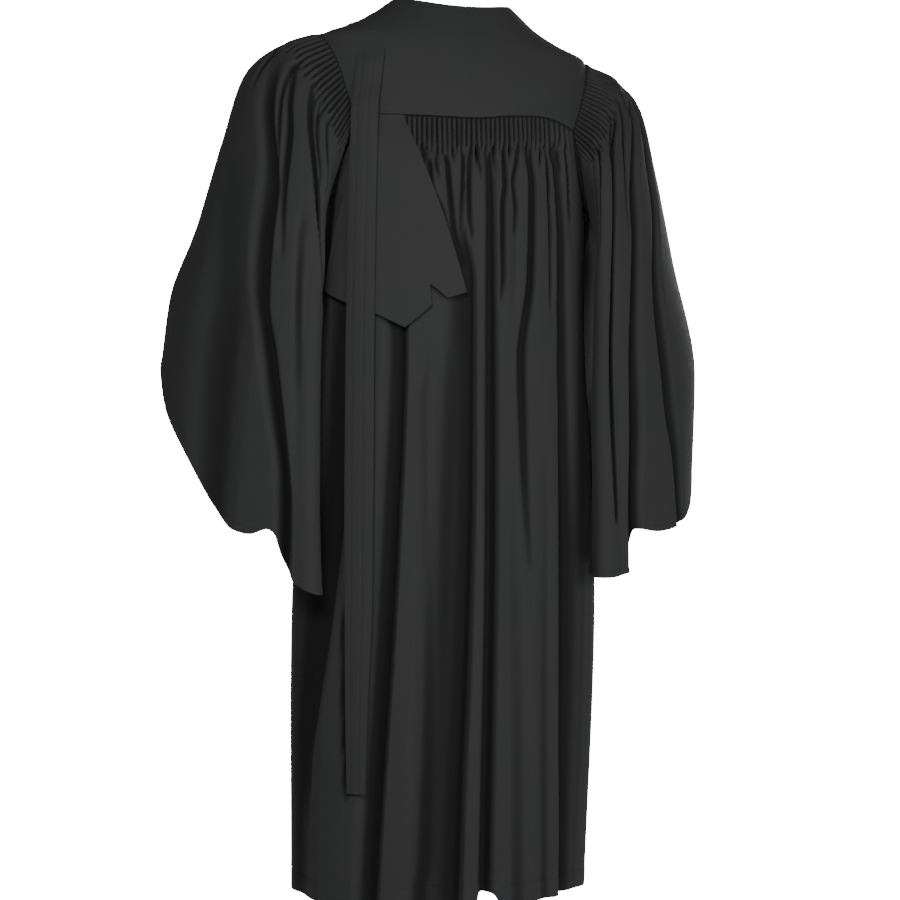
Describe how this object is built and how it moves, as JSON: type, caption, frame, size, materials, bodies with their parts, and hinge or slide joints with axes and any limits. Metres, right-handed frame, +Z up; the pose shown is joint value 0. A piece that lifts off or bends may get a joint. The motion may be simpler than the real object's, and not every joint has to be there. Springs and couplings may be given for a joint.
{
  "type": "barrister gown",
  "caption": "Black stuff gown worn open at the front: plain yoke, gathered back and wide bell sleeves, with a small hood flap and a long streamer behind the left shoulder.",
  "frame": {"origin": "middle of the wearer's neck, level with the points where the yoke rests on the shoulders", "axes": "+X to the wearer's left, -Y to the wearer's front, +Z up"},
  "size_m": [0.7717, 0.3022, 1.2331],
  "materials": {
    "gown_cloth": "matt black fine stuff cloth with a slight sheen"
  },
  "bodies": {
    "root": {"yoke": "gown_cloth", "back_panel": "gown_cloth", "front_left": "gown_cloth", "front_right": "gown_cloth", "sleeve_left": "gown_cloth", "sleeve_right": "gown_cloth", "hood_flap_under": "gown_cloth", "hood_flap_over": "gown_cloth", "streamer": "gown_cloth"}
  },
  "joints": []
}
